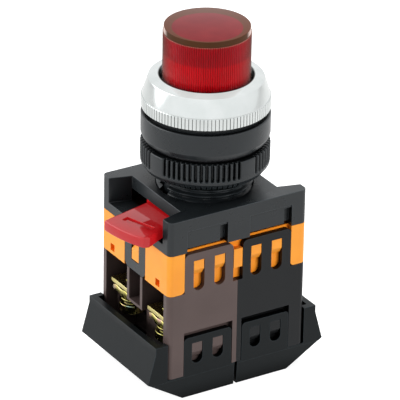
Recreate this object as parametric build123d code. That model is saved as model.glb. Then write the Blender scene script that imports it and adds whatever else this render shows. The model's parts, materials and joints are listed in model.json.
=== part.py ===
from build123d import *

import os
from math import cos, pi, sin

# Industrial push button, 22 mm class, built for a 22.5 mm panel hole.
# Millimetres. The origin is on the barrel axis, at the underside of the collar, where the
# front of the panel sits. +Z points at the operator. +X and -X are the two terminal ends of
# the base, and the red lock lever stands out at the -X end.

# ---------------------------------------------------------------- driving dimensions

GAP = 0.05  # gap between fixed pieces that sit against each other
RUN = 0.05  # radial clearance of a turning or sliding fit
TRAVEL = 4.0  # travel of the button
CONTACT_TRAVEL = 2.5  # travel of a moving bridge, the rest of the stroke is lost motion
LEVER_TURN = 24.0  # degrees from locked to unlocked

# head
BARREL_R = 11.0  # M22 thread, crest radius
THREAD_DEPTH = 0.75
THREAD_PITCH = 1.5
BARREL_BOTTOM = -17.9
COLLAR_R = 14.75
COLLAR_TOP = 6.1
NECK_R = 13.6
NECK_TOP = 12.0
BORE_R = 9.5
LENS_BORE_R = 10.3
LENS_BORE_BOTTOM = 5.0
LIP_R = 7.7
LIP_TOP = -12.0
GROOVE_R = 10.0
GROOVE_TOP = -15.35
GROOVE_BOTTOM = -16.95
LUG_COUNT = 3
LUG_W = 2.6
KEYWAY_W = 3.2  # groove down the thread, towards the lever, that stops the head turning
KEYWAY_R = 9.95

LENS_R = 10.05
LENS_TOP_R = 9.8
LENS_TOP = 26.8
LENS_RIM = 25.18
LENS_BOTTOM = 11.5
LENS_RIBS = 120
DIFFUSER_TOP = 20.7
PLUNGER_R = 9.4
STEM_R = 7.5
STEM_HOLE_R = 6.0
STEM_BOTTOM = -19.9
CLAW_R = 8.4

BEZEL_HOLE_R = 10.77
BEZEL_TOP = 15.0
KNURL_TOP = 10.09
KNURL_BOTTOM = 7.21
KNURL_TEETH = 108

GASKET_BOTTOM = -0.70
WASHER_BOTTOM = -1.12
NUT_TOP = -1.14
NUT_RIB_BOTTOM = -5.45
NUT_BOTTOM = -7.56
NUT_RIBS = 72
NUT_PADS = 4
NUT_PAD_RIBS = 4  # ribs left out at each smooth pad

# base
HALF_X = 18.25
HALF_Y = 15.05
CORNER_R = 1.3
WALL = 1.45  # thickness of the snap tabs, and depth of the recesses that take them
TAB_X0 = 1.3
TAB_X1 = 14.1
WINDOW_X = (4.85, 10.35)
WINDOW_W = 2.85
COVER_WINDOW_X = (5.0, 10.5)

ADAPTOR_TOP = -12.0
ADAPTOR_BOTTOM = -20.4
CEILING = -15.2  # underside of the adaptor's top plate
SILL_TOP = -18.2
POCKET_X = 12.87

RING_R = 13.1
RING_HOLE_R = 11.35
RING_TOP = -15.5
RING_BOTTOM = -18.05
LEVER_R = 26.3

FRAME_BOTTOM = -30.5
ISLAND_TOP = -19.25
WELL_R = 8.8
WELL_FLOOR = -24.3
LAMP_R = 5.0

BLOCK_TOP = -30.55
BLOCK_BOTTOM = -51.6
TAB_TOP = -20.9
DIVIDER = 3.4
SIDE_WALL = HALF_Y - 1.43  # inner face of the side tabs
END_WALL = 12.8  # inner face of the walls beside the terminals
ISLAND_BOTTOM = -38.95  # underside of the shelf between the terminals
CHAMBER = (1.2, 9.6)
CHAMBER_Y = 11.9
CHAMBER_TOP = -31.8
BASE_TOP = -50.2
LOWER_RECESS_TOP = -40.6

PUSHER_X = 7.0
PUSHER_TOP = -20.0
PIN_R = 1.2
TIP_Y = 8.1
TIP_R = 1.3
TIP_H = 0.4
PLATE_TOP = -37.2
PLATE_T = 1.0
NO_TIP_BOTTOM = -39.0  # bridge tips of the normally open contact, at rest
NC_TIP_TOP = PLATE_TOP - PLATE_T - TIP_H - 0.02
BAR_T = 0.7
SHOULDER_BOTTOM = CHAMBER_TOP - GAP - 1.0
NO_FLANGE_TOP = NO_TIP_BOTTOM + TIP_H - 0.02
NC_FLANGE_TOP = -43.4
FLANGE_T = 0.6
PIN_BOTTOM = -46.0
SCREW_X = 13.9
SCREW_R = 1.75
SCREW_HEAD_R = 3.1
SCREW_HEAD_TOP = -42.8
WASHER_R = 2.75  # the screw's captive washer
WASHER_TOP = -41.5
CLAMP_TOP = -38.5
CLAMP_X = (10.9, 17.2)

COVER_BOTTOM = -57.45
COVER_TOP = -42.6


# ---------------------------------------------------------------- helpers


def block(x0, x1, y0, y1, z0, z1):
    size = (abs(x1 - x0), abs(y1 - y0), abs(z1 - z0))
    return Pos((x0 + x1) / 2, (y0 + y1) / 2, (z0 + z1) / 2) * Box(*size)


def disc(r, z0, z1, x=0.0, y=0.0):
    return Pos(x, y, (z0 + z1) / 2) * Cylinder(r, abs(z1 - z0))


def tube(r_out, r_in, z0, z1, x=0.0, y=0.0):
    return disc(r_out, z0, z1, x, y) - disc(r_in, z0 - 1, z1 + 1, x, y)


def turned(points):
    """A solid of revolution about Z from (radius, z) points."""
    return revolve(Plane.XZ * Polygon(*points, align=None), Axis.Z)


def prism_y(points, half_y):
    """A prism along Y, symmetric about Y = 0, from (x, z) points."""
    return extrude(Plane.XZ * Polygon(*points, align=None), amount=half_y, both=True)


def ribbed_ring(r_tip, r_root, count, z0, z1, skipped=()):
    """A toothed disc. Ribs whose number is in skipped are merged into a smooth pad."""
    points = []
    for k in range(count):
        start = 2 * pi * k / count
        for part, r in ((0.0, r_root), (0.3, r_tip), (0.7, r_tip), (0.999, r_root)):
            radius = r_tip if k in skipped else r
            angle = start + part * 2 * pi / count
            points.append((radius * cos(angle), radius * sin(angle)))
    return Pos(0, 0, z0) * extrude(Polygon(*points, align=None), amount=z1 - z0)


def coil(r, wire_r, z0, z1, turns, x=0.0):
    """An open helical compression spring between two seats."""
    height = z1 - z0 - 2 * wire_r - 0.2
    path = Helix(height / turns, height, r)
    wire = Plane(origin=path @ 0, z_dir=path % 0) * Circle(wire_r)
    return Pos(x, 0, z0 + wire_r + 0.1) * sweep(wire, path=path, is_frenet=True)


def footprint(z0, z1):
    """The rounded rectangle that the adaptor, the frame and the blocks share."""
    outline = RectangleRounded(2 * HALF_X, 2 * HALF_Y, CORNER_R)
    return Pos(0, 0, z0) * extrude(outline, amount=z1 - z0)


def both_sides(shape):
    """The shape and its copy mirrored in Y."""
    return shape + mirror(shape, Plane.XZ)


def both_ends(shape):
    """The shape and its copy turned half a turn about Z."""
    return shape + Rot(0, 0, 180) * shape


def slot_window(x, z0, z1):
    """A window through a side tab at +Y, square at the top and round at the bottom."""
    r = WINDOW_W / 2
    opening = block(x - r, x + r, SIDE_WALL - 0.3, HALF_Y + 1, z0 + r, z1)
    end = Pos(x, HALF_Y, z0 + r) * Rot(90, 0, 0) * Cylinder(r, 4)
    return opening + (end & block(x - r, x + r, SIDE_WALL - 0.3, HALF_Y + 1, z0, z1))


def snap_lug(x, width, z_top):
    """A lug at +Y: flat top and face, then a ramp down and inwards."""
    face = HALF_Y - 0.1
    root = HALF_Y - WALL - 0.3
    profile = [
        (root, z_top),
        (face, z_top),
        (face, z_top - 2.3),
        (face - 0.8, z_top - 3.7),
        (root, z_top - 3.7),
    ]
    sketch = Plane.YZ.offset(x - width / 2) * Polygon(*profile, align=None)
    return extrude(sketch, amount=width, dir=(1, 0, 0))


# ---------------------------------------------------------------- head


def thread_points():
    """Thread crests and roots from the collar down, as rings."""
    points = []
    crest = 0.35
    z = WASHER_BOTTOM
    while z - THREAD_PITCH > CEILING:
        points.append((BARREL_R, z))
        points.append((BARREL_R, z - crest))
        points.append((BARREL_R - THREAD_DEPTH, z - THREAD_PITCH / 2))
        points.append((BARREL_R - THREAD_DEPTH, z - THREAD_PITCH / 2 - 0.2))
        z -= THREAD_PITCH
    points.append((BARREL_R, z))
    return points


def housing_barrel():
    profile = [
        (LENS_BORE_R, NECK_TOP),
        (NECK_R, NECK_TOP),
        (NECK_R, COLLAR_TOP),
        (COLLAR_R - 0.3, COLLAR_TOP),
        (COLLAR_R, COLLAR_TOP - 0.3),
        (COLLAR_R, 1.18),
        (COLLAR_R - 0.5, 0),
        (BARREL_R, 0),
        *thread_points(),
        (BARREL_R, GROOVE_TOP),
        (GROOVE_R, GROOVE_TOP),
        (GROOVE_R, GROOVE_BOTTOM),
        (BARREL_R, GROOVE_BOTTOM),
        (BARREL_R, BARREL_BOTTOM),
        (LIP_R, BARREL_BOTTOM),
        (LIP_R, LIP_TOP),
        (BORE_R, LIP_TOP),
        (BORE_R, LENS_BORE_BOTTOM),
        (LENS_BORE_R, LENS_BORE_BOTTOM),
    ]
    body = turned(profile)
    for k in range(LUG_COUNT):
        entry = block(GROOVE_R, BARREL_R + 1, -1.6, 1.6, BARREL_BOTTOM - 1, GROOVE_TOP)
        body -= Rot(0, 0, lug_angle(k) - LEVER_TURN) * entry
    return body - block(-13, -KEYWAY_R, -KEYWAY_W / 2, KEYWAY_W / 2, GROOVE_TOP - 0.1, WASHER_BOTTOM)


def lug_angle(k):
    return 60 + 360 * k / LUG_COUNT


def bezel_ring():
    inner = NECK_R + RUN
    profile = [
        (BEZEL_HOLE_R, BEZEL_TOP - 0.3),
        (BEZEL_HOLE_R + 0.3, BEZEL_TOP),
        (13.18, 14.35),
        (14.56, KNURL_TOP),
        (14.45, KNURL_TOP),
        (14.45, KNURL_BOTTOM),
        (inner, KNURL_BOTTOM),
        (inner, NECK_TOP + GAP),
        (11.6, NECK_TOP + GAP),
        (BEZEL_HOLE_R, NECK_TOP + 0.9),
    ]
    knurl = ribbed_ring(COLLAR_R, COLLAR_R - 0.25, KNURL_TEETH, KNURL_BOTTOM, KNURL_TOP)
    return turned(profile) + (knurl - disc(14.2, -60, 60))


def lens_cap():
    inner = LENS_R - 1.0
    profile = [
        (0, LENS_TOP),
        (LENS_TOP_R - 0.3, LENS_TOP),
        (LENS_TOP_R, LENS_TOP - 0.3),
        (LENS_R, LENS_RIM),
        (LENS_R - 0.12, LENS_RIM),
        (LENS_R - 0.12, LENS_BOTTOM),
        (inner, LENS_BOTTOM),
        (inner, DIFFUSER_TOP + GAP),
        (7.7, DIFFUSER_TOP + GAP),
        (7.7, LENS_TOP - 1.5),
        (0, LENS_TOP - 1.5),
    ]
    ribs = ribbed_ring(LENS_R, LENS_R - 0.1, LENS_RIBS, LENS_BOTTOM, LENS_RIM)
    return turned(profile) + (ribs - disc(LENS_R - 0.3, -60, 60))


def lens_diffuser():
    outer = LENS_R - 1.0 - RUN
    wall = 0.6
    shell = disc(outer, LENS_BOTTOM + 0.1, DIFFUSER_TOP)
    return shell - disc(outer - wall, 0, DIFFUSER_TOP - 0.7)


def plunger_tube():
    top = DIFFUSER_TOP - 0.7 - GAP
    shoulder = LENS_BOTTOM - GAP
    profile = [
        (6.6, top),
        (8.2, top),
        (8.2, shoulder),
        (LENS_BORE_R - 0.4, shoulder),
        (LENS_BORE_R - 0.4, shoulder - 1.25),
        (PLUNGER_R, shoulder - 1.25),
        (PLUNGER_R, 4.0),
        (STEM_R, 4.0),
        (STEM_R, BARREL_BOTTOM - GAP),
        (CLAW_R, BARREL_BOTTOM - GAP),
        (CLAW_R, -19.0),
        (CLAW_R - 0.5, STEM_BOTTOM),
        (STEM_HOLE_R, STEM_BOTTOM),
        (STEM_HOLE_R, 4.0),
        (6.6, 5.0),
    ]
    body = turned(profile)
    for angle in (45, 135):
        cut = block(-12, 12, -1, 1, STEM_BOTTOM - 1, -9)
        body -= Rot(0, 0, angle) * cut
    return body


def return_spring():
    return coil((STEM_R + BORE_R) / 2, 0.5, LIP_TOP, 4.0, 6)


def panel_gasket():
    return tube(13.4, BARREL_R + 0.15, GASKET_BOTTOM, -0.02)


def thrust_washer():
    return tube(13.2, BARREL_R + 0.15, WASHER_BOTTOM, GASKET_BOTTOM - 0.02)


def lock_nut():
    spacing = NUT_RIBS // NUT_PADS
    pads = [
        (spacing * pad + k) % NUT_RIBS
        for pad in range(NUT_PADS)
        for k in range(NUT_PAD_RIBS)
    ]
    ribs = ribbed_ring(14.79, 14.05, NUT_RIBS, NUT_RIB_BOTTOM - 0.1, NUT_TOP, pads)
    foot = turned(
        [
            (10, NUT_RIB_BOTTOM),
            (COLLAR_R, NUT_RIB_BOTTOM),
            (COLLAR_R, -6.0),
            (NECK_R, NUT_BOTTOM + 0.3),
            (10, NUT_BOTTOM + 0.3),
        ]
    )
    scallops = ribbed_ring(NECK_R, NECK_R - 0.8, NUT_RIBS, NUT_BOTTOM, NUT_BOTTOM + 0.9)
    scallops -= turned([(10, NUT_BOTTOM + 0.6), (12, NUT_BOTTOM + 0.6), (12, -5), (10, -5)])
    return ribs + foot + scallops - disc(BARREL_R + RUN, -60, 60)


# ---------------------------------------------------------------- lamp


def lamp_holder():
    """A brass sleeve with a bottom lip and two bayonet slots."""
    sleeve = tube(LAMP_R, LAMP_R - 0.3, WELL_FLOOR + GAP, -8.0)
    lip = tube(LAMP_R, 2.6, WELL_FLOOR + GAP, WELL_FLOOR + 0.6)
    entry = block(-6, 6, -0.9, 0.9, -14, -7)
    hook = Rot(0, 0, 16) * block(-6, 6, -0.9, 0.9, -14, -12)
    return sleeve + lip - entry - hook


def lamp_cap():
    shell = tube(4.6, 4.1, -19.5, -5.5) + disc(4.3, -19.9, -19.4)
    contact = disc(1.8, -20.4, -19.8)
    pin = Pos(0, 0, -13.0) * Rot(0, 90, 16) * Cylinder(0.7, 10.4)
    return shell + contact + pin


def lamp_bulb():
    neck = disc(4.0, -18.8, -6)
    neck -= Pos(0, 0, -13.0) * Rot(0, 90, 16) * Cylinder(0.8, 12)
    globe = disc(4.3, -5.4, 10.0) + Pos(0, 0, 10.0) * Sphere(4.3)
    return neck + disc(4.0, -6.1, -5.3) + globe


def lamp_contact_spring():
    return coil(1.6, 0.25, WELL_FLOOR + 0.02, -20.42, 4)


# ---------------------------------------------------------------- adaptor, lever and frame


def end_pocket():
    """The tapered pocket at the +X end, which the lever swings in."""
    outline = [(POCKET_X, -10.5), (HALF_X + 1, -12.25), (HALF_X + 1, 12.25), (POCKET_X, 10.5)]
    sketch = Pos(0, 0, SILL_TOP) * Polygon(*outline, align=None)
    return extrude(sketch, amount=10, dir=(0, 0, 1))


def end_tab():
    """The long snap tab at the +X end, with its window and chamfered lower corners."""
    outline = [
        (-4.5, ADAPTOR_BOTTOM + 0.5),
        (-4.5, FRAME_BOTTOM + 1.0),
        (-3.5, FRAME_BOTTOM),
        (3.5, FRAME_BOTTOM),
        (4.5, FRAME_BOTTOM + 1.0),
        (4.5, ADAPTOR_BOTTOM + 0.5),
    ]
    sketch = Plane.YZ.offset(HALF_X - WALL + GAP) * Polygon(*outline, align=None)
    tab = extrude(sketch, amount=WALL - GAP, dir=(1, 0, 0))
    return tab - block(HALF_X - 3, HALF_X + 1, -1.6, 1.6, -28.0, -22.0)


def adaptor_bracket():
    body = footprint(ADAPTOR_BOTTOM + 0.02, ADAPTOR_TOP)
    body -= disc(BARREL_R + 0.15, -60, 0)
    body -= block(-POCKET_X, POCKET_X, -13.1, 13.1, -21, CEILING)
    body -= block(-16.3, 16.3, -13.1, 13.1, -21, SILL_TOP - 1.0)
    body -= both_ends(end_pocket())
    # panels between the posts: set back a little, shorter, each with one narrow blind slot
    for x0, x1 in ((-14.15, -3.05), (2.9, 13.5)):
        panel = block(x0, x1, HALF_Y - 0.35, HALF_Y + 1, -21, -15.1)
        panel += block(x0, x1, HALF_Y - 2, HALF_Y + 1, -21, -19.45)
        panel += block(x0, x0 + 1.85, HALF_Y - 1.3, HALF_Y + 1, -21, -15.7)
        body -= both_ends(panel)
    return body + both_ends(end_tab())


def lock_lever():
    """The bayonet ring with its lugs, and the lever that turns it."""
    body = tube(RING_R, RING_HOLE_R, RING_BOTTOM, RING_TOP)
    for k in range(LUG_COUNT):
        lug = block(GROOVE_R + 0.15, 12, -LUG_W / 2, LUG_W / 2, RING_TOP - 1.3, RING_TOP)
        body += Rot(0, 0, lug_angle(k)) * lug
    tip = Polyline((-21.9, -12.45), (-17.1, -9.9), (-11.0, -6.4), (-11.5, 3.2), (-12.75, 3.53))
    edge = tip + Line((-12.75, 3.53), (-LEVER_R, 0.15))
    rim = ThreePointArc((-LEVER_R, 0.15), (-25.4, -6.2), (-23.2, -12.0))
    outline = edge + rim + Line((-23.2, -12.0), (-21.9, -12.45))
    arm = extrude(Pos(0, 0, RING_BOTTOM) * make_face(outline), amount=RING_TOP - RING_BOTTOM)
    arm -= disc((RING_R + RING_HOLE_R) / 2, -60, 0)
    # shallow groove on the lever's top, wider at one end
    groove = block(-0.6, 0.6, -8.1, 0, RING_TOP - 0.4, 0)
    groove += block(-1.1, 0.6, -3, 0, RING_TOP - 0.4, 0)
    arm -= Pos(-21.6, -1.2, 0) * Rot(0, 0, 18) * groove
    return body + arm


def lamp_frame():
    body = footprint(FRAME_BOTTOM, ADAPTOR_BOTTOM)
    recess = block(-14.15, 14.15, HALF_Y - WALL - 0.05, HALF_Y + 1, -32, -20)
    body -= both_sides(recess)
    body -= both_ends(both_sides(post_rounding()))
    for x in (*WINDOW_X, *(-x for x in WINDOW_X)):
        body += both_sides(snap_lug(x, WINDOW_W - 0.2, -22.9))
    body += both_sides(block(-1.15, 1.15, HALF_Y - WALL - 0.3, HALF_Y - 0.05, -27.3, -22.6))
    end = block(HALF_X - WALL, HALF_X + 1, -4.6, 4.6, -32, -20)
    body -= both_ends(end)
    body += both_ends(end_lug())
    body += block(-16.2, 16.2, -13.05, 13.05, ADAPTOR_BOTTOM - 0.1, ISLAND_TOP)
    body += disc(12.7, ISLAND_TOP - 0.5, RING_BOTTOM - 0.1)
    body -= disc(WELL_R, WELL_FLOOR, 0)
    body -= block(-15.0, 15.0, -11.6, 11.6, FRAME_BOTTOM - 1, WELL_FLOOR - 1.5)
    for side in (-1, 1):
        x0 = side * PUSHER_X
        body -= block(x0 - 1.75, x0 + 1.75, -1.95, 1.95, WELL_FLOOR - 3, WELL_FLOOR + 1)
        for y in (-10, 10):
            x1 = side * (HALF_X - 0.4)
            body -= block(x1 - 1, x1 + 1, y - 0.9, y + 0.9, -29.7, -27.9)
    return body


def post_rounding():
    """What is cut off the lower inner corner of a frame post at +X, +Y."""
    r = 0.9
    x = TAB_X1 + GAP
    corner = block(x - 0.1, x + r, HALF_Y - WALL, HALF_Y + 1, FRAME_BOTTOM - 0.1, FRAME_BOTTOM + r)
    return corner - Pos(x + r, HALF_Y, FRAME_BOTTOM + r) * Rot(90, 0, 0) * Cylinder(r, 6)


def end_lug():
    """The lug that the end tab's window hooks over, a wedge that ramps in towards the top."""
    face = HALF_X - 0.1
    root = HALF_X - WALL - 0.3
    profile = [(root, -27.8), (face, -27.8), (face, -25.2), (root, -23.2)]
    return extrude(Plane.XZ * Polygon(*profile, align=None), amount=1.5, both=True)


# ---------------------------------------------------------------- contact blocks, made at +X


def side_tab():
    """A snap tab at +Y that reaches up over the lamp frame."""
    tab = block(TAB_X0, TAB_X1, SIDE_WALL, HALF_Y, BLOCK_TOP - 0.5, TAB_TOP)
    tops = tab.edges().filter_by(Axis.Y).sort_by(Axis.Z)[-2:]
    tab = fillet(tops, 1.2)
    for x in WINDOW_X:
        tab -= slot_window(x, -30.45, -22.8)
    return tab


def block_body():
    body = footprint(BLOCK_BOTTOM, BLOCK_TOP) & block(0.03, 20, -20, 20, -60, 0)
    body += both_sides(side_tab())
    body -= block(*CHAMBER, -CHAMBER_Y, CHAMBER_Y, -60, CHAMBER_TOP)
    for side in (-1, 1):
        wide = side * END_WALL
        body -= block(10.6, 20, side * DIVIDER, wide, LOWER_RECESS_TOP + 0.2, -29)
        body -= block(10.6, 15.3, side * DIVIDER, side * 12.0, -60, LOWER_RECESS_TOP + 1)
        body -= block(15.2, 20, side * DIVIDER, wide, -60, LOWER_RECESS_TOP + 1)
        body -= block(9, 11, side * 5.5, side * 10.7, PLATE_TOP - PLATE_T - 0.04, PLATE_TOP + 0.04)
    body -= block(12.9, 20, -2.4, 2.4, -38.3, -29)
    body -= block(12.9, 20, -DIVIDER - 0.1, DIVIDER + 0.1, -60, ISLAND_BOTTOM)
    recess = block(TAB_X0 - 0.1, TAB_X1, SIDE_WALL - 0.05, HALF_Y + 1, -60, LOWER_RECESS_TOP)
    body -= both_sides(recess)
    for x in COVER_WINDOW_X:
        body += both_sides(snap_lug(x, WINDOW_W - 0.2, -43.8))
    return body - block(PUSHER_X - 1.7, PUSHER_X + 1.7, -1.9, 1.9, -33, -29)


def base_plate():
    return block(
        CHAMBER[0] + GAP, CHAMBER[1] - GAP, GAP - CHAMBER_Y, CHAMBER_Y - GAP, BLOCK_BOTTOM, BASE_TOP
    )


def terminal_plate():
    """The outer part of a fixed contact at +Y, with the screw's hole and the strip inwards."""
    plate = block(10.65, 17.5, TIP_Y - 3.65, TIP_Y + 3.65, PLATE_TOP - PLATE_T, PLATE_TOP)
    plate -= disc(SCREW_R + RUN, -60, 0, SCREW_X, TIP_Y)
    strip = block(9.0, 10.7, TIP_Y - 2.5, TIP_Y + 2.5, PLATE_TOP - PLATE_T, PLATE_TOP)
    return plate + strip


def fixed_contacts_nc():
    """Straight strips whose tips face down."""
    arm = block(5.2, 9.1, TIP_Y - 2.5, TIP_Y + 2.5, PLATE_TOP - PLATE_T, PLATE_TOP)
    bottom = PLATE_TOP - PLATE_T
    tip = disc(TIP_R, bottom - TIP_H, bottom + 0.1, PUSHER_X, TIP_Y)
    return both_sides(terminal_plate() + arm + tip)


def fixed_contacts_no():
    """Strips bent down and in, below the bridge, whose tips face up."""
    foot = NO_TIP_BOTTOM - CONTACT_TRAVEL - 0.02 - TIP_H
    drop = block(9.0, 9.55, TIP_Y - 2.5, TIP_Y + 2.5, foot - 0.8, PLATE_TOP)
    arm = block(5.2, 9.1, TIP_Y - 2.5, TIP_Y + 2.5, foot - 0.8, foot)
    tip = disc(TIP_R, foot - 0.1, foot + TIP_H, PUSHER_X, TIP_Y)
    return both_sides(terminal_plate() + drop + arm + tip)


def bridge(bar_top, tips_up):
    """A contact bar along Y with two tips and a hole for the pusher's pin."""
    bar = block(PUSHER_X - 1.8, PUSHER_X + 1.8, -9.5, 9.5, bar_top - BAR_T, bar_top)
    tip_z0 = bar_top - 0.1 if tips_up else bar_top - BAR_T - TIP_H
    for y in (-TIP_Y, TIP_Y):
        bar += disc(TIP_R, tip_z0, tip_z0 + TIP_H + 0.1, PUSHER_X, y)
    return bar - disc(PIN_R + 0.08, -60, 0, PUSHER_X, 0)


def pusher_stem():
    stem = block(PUSHER_X - 1.6, PUSHER_X + 1.6, -1.8, 1.8, SHOULDER_BOTTOM, PUSHER_TOP)
    shoulder = disc(2.4, SHOULDER_BOTTOM, CHAMBER_TOP - GAP, PUSHER_X)
    return stem + shoulder + disc(PIN_R, PIN_BOTTOM, SHOULDER_BOTTOM + 0.1, PUSHER_X)


def pusher_no():
    """The bridge rests on the flange and is sprung down from the shoulder."""
    return pusher_stem() + disc(2.2, NO_FLANGE_TOP - FLANGE_T, NO_FLANGE_TOP, PUSHER_X)


def pusher_nc():
    """The sleeve reaches the bridge after the lost motion, the flange seats the pusher's spring."""
    sleeve_bottom = NC_TIP_TOP - TIP_H + TRAVEL - CONTACT_TRAVEL + 0.02
    sleeve = disc(1.9, sleeve_bottom, SHOULDER_BOTTOM + 0.1, PUSHER_X)
    flange = disc(1.95, NC_FLANGE_TOP - FLANGE_T, NC_FLANGE_TOP, PUSHER_X)
    return pusher_stem() + sleeve + flange


def clamp_wave(depth, swing):
    """A wavy line across a clamp at +Y, at a depth below its top."""
    half = 3.5
    steps = 12
    points = []
    for k in range(steps + 1):
        y = -half + 2 * half * k / steps
        points.append((TIP_Y + y, CLAMP_TOP - depth - swing * cos(2 * pi * y / (1.2 * half))))
    return points


def saddle_clamp():
    """A wavy plate at +Y with an outer lip, pressed up against the terminal plate by the washer."""
    top = clamp_wave(0, 0.12)
    x0, x1 = CLAMP_X
    plate = Plane.YZ.offset(x0) * Polygon(*top, *reversed(clamp_wave(0.8, 0.12)), align=None)
    lip = Plane.YZ.offset(x1 - 0.6) * Polygon(*top, *reversed(clamp_wave(1.4, 0.25)), align=None)
    body = extrude(plate, amount=x1 - x0, dir=(1, 0, 0)) + extrude(lip, amount=0.6, dir=(1, 0, 0))
    body += disc(2.2, WASHER_TOP + GAP, CLAMP_TOP - 0.5, SCREW_X, TIP_Y)
    return body - disc(SCREW_R + 0.15, -60, 0, SCREW_X, TIP_Y)


def terminal_screw():
    """A screw driven from below, with its captive washer."""
    bottom = SCREW_HEAD_TOP - 2
    head = disc(SCREW_HEAD_R, bottom, SCREW_HEAD_TOP, SCREW_X, TIP_Y)
    shaft = disc(SCREW_R, SCREW_HEAD_TOP - 0.1, PLATE_TOP + 0.3, SCREW_X, TIP_Y)
    neck = disc(2.1, SCREW_HEAD_TOP - 0.1, WASHER_TOP - 0.75, SCREW_X, TIP_Y)
    slot = Pos(SCREW_X, TIP_Y, bottom) * Box(7, 0.8, 2.0)
    cross = Pos(SCREW_X, TIP_Y, bottom) * Box(0.8, 3.4, 2.0)
    washer = tube(WASHER_R, SCREW_R + 0.1, WASHER_TOP - 0.7, WASHER_TOP, SCREW_X, TIP_Y)
    return [head + shaft + neck - slot - cross, washer]


def cover_draft():
    """The thin wedge taken off the cover's long side at +Y, below the tab."""
    edge = BLOCK_BOTTOM - 0.5
    wedge = [(HALF_Y - 0.08, edge), (HALF_Y + 1, edge), (HALF_Y + 1, -60), (HALF_Y - 0.5, -60)]
    sketch = Plane.YZ * Polygon(*wedge, align=None)
    return extrude(sketch, amount=30, dir=(1, 0, 0))


def rear_cover():
    outline = [
        (0.35, COVER_BOTTOM),
        (14.04, COVER_BOTTOM),
        (23.45, -51.54),
        (21.44, -44.3),
        (21.44, COVER_TOP),
        (HALF_X + GAP, COVER_TOP),
        (HALF_X + GAP, BLOCK_BOTTOM - GAP),
        (0.35, BLOCK_BOTTOM - GAP),
    ]
    hollow = [
        (1.6, -50),
        (1.6, -55.95),
        (13.6, -55.95),
        (21.4, -51.0),
        (19.94, -44.5),
        (19.94, -42.0),
        (18.0, -42.0),
        (18.0, -50),
    ]
    body = prism_y(outline, HALF_Y) - prism_y(hollow, SIDE_WALL - 0.1)
    body -= both_sides(cover_draft())
    tab = block(1.4, 14.0, SIDE_WALL, HALF_Y, BLOCK_BOTTOM - 0.5, -42.1)
    tab = fillet(tab.edges().filter_by(Axis.Y).sort_by(Axis.Z)[-2:], 1.0)
    for x in COVER_WINDOW_X:
        tab -= slot_window(x, -49.0, -43.7)
    body += both_sides(tab)
    for y in (-TIP_Y, TIP_Y):
        body -= disc(3.0, -60, -50, SCREW_X, y)
    return body


# ---------------------------------------------------------------- assembly


def at_left(shape):
    return Rot(0, 0, 180) * shape


def spring_between(top, bottom, turns, r=1.65, wire_r=0.22):
    return coil(r, wire_r, bottom, top, turns, PUSHER_X)


def group(shapes):
    return Compound(children=[s for shape in shapes for s in shape.solids()])


nodes = {
    "lens_cap": lens_cap(),
    "lens_diffuser": lens_diffuser(),
    "plunger_tube": plunger_tube(),
    "return_spring": return_spring(),
    "bezel_ring": bezel_ring(),
    "housing_barrel": housing_barrel(),
    "panel_gasket": panel_gasket(),
    "thrust_washer": thrust_washer(),
    "lock_nut": lock_nut(),
    "lamp_bulb": lamp_bulb(),
    "lamp_cap": lamp_cap(),
    "lamp_holder": lamp_holder(),
    "lamp_contact_spring": lamp_contact_spring(),
    "adaptor_bracket": adaptor_bracket(),
    "lock_lever": lock_lever(),
    "lamp_frame": lamp_frame(),
    "block_body_right": block_body(),
    "block_body_left": at_left(block_body()),
    "base_plate_right": base_plate(),
    "base_plate_left": at_left(base_plate()),
    "rear_cover_right": rear_cover(),
    "rear_cover_left": at_left(rear_cover()),
    "pusher_right": pusher_no(),
    "pusher_left": at_left(pusher_nc()),
    "pusher_spring_right": spring_between(NO_FLANGE_TOP - FLANGE_T, BASE_TOP, 8),
    "pusher_spring_left": at_left(spring_between(NC_FLANGE_TOP - FLANGE_T, BASE_TOP, 4)),
    "bridge_right": bridge(NO_TIP_BOTTOM + TIP_H + BAR_T, False),
    "bridge_left": at_left(bridge(NC_TIP_TOP - TIP_H, True)),
    "bridge_spring_right": spring_between(SHOULDER_BOTTOM, NO_TIP_BOTTOM + TIP_H + BAR_T, 5),
    "bridge_spring_left": at_left(
        spring_between(NC_TIP_TOP - TIP_H - BAR_T, BASE_TOP, 6, 2.28, 0.2)
    ),
    "fixed_contacts_right": group([fixed_contacts_no()]),
    "fixed_contacts_left": group([at_left(fixed_contacts_nc())]),
}
for side, turn in (("right", 0), ("left", 180)):
    for place, flip in (("a", False), ("b", True)):
        clamp = saddle_clamp()
        screw = terminal_screw()
        if flip:
            clamp = mirror(clamp, Plane.XZ)
            screw = [mirror(s, Plane.XZ) for s in screw]
        nodes[f"clamp_{side}_{place}"] = Rot(0, 0, turn) * clamp
        nodes[f"screw_{side}_{place}"] = group([Rot(0, 0, turn) * s for s in screw])

os.makedirs("parts", exist_ok=True)
for name, shape in nodes.items():
    export_step(shape, f"parts/{name}.step")
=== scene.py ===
import json
from math import atan2, ceil, cos, hypot, pi, radians, sin, sqrt, tan

import bmesh
import bpy
from mathutils import Matrix, Vector


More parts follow.
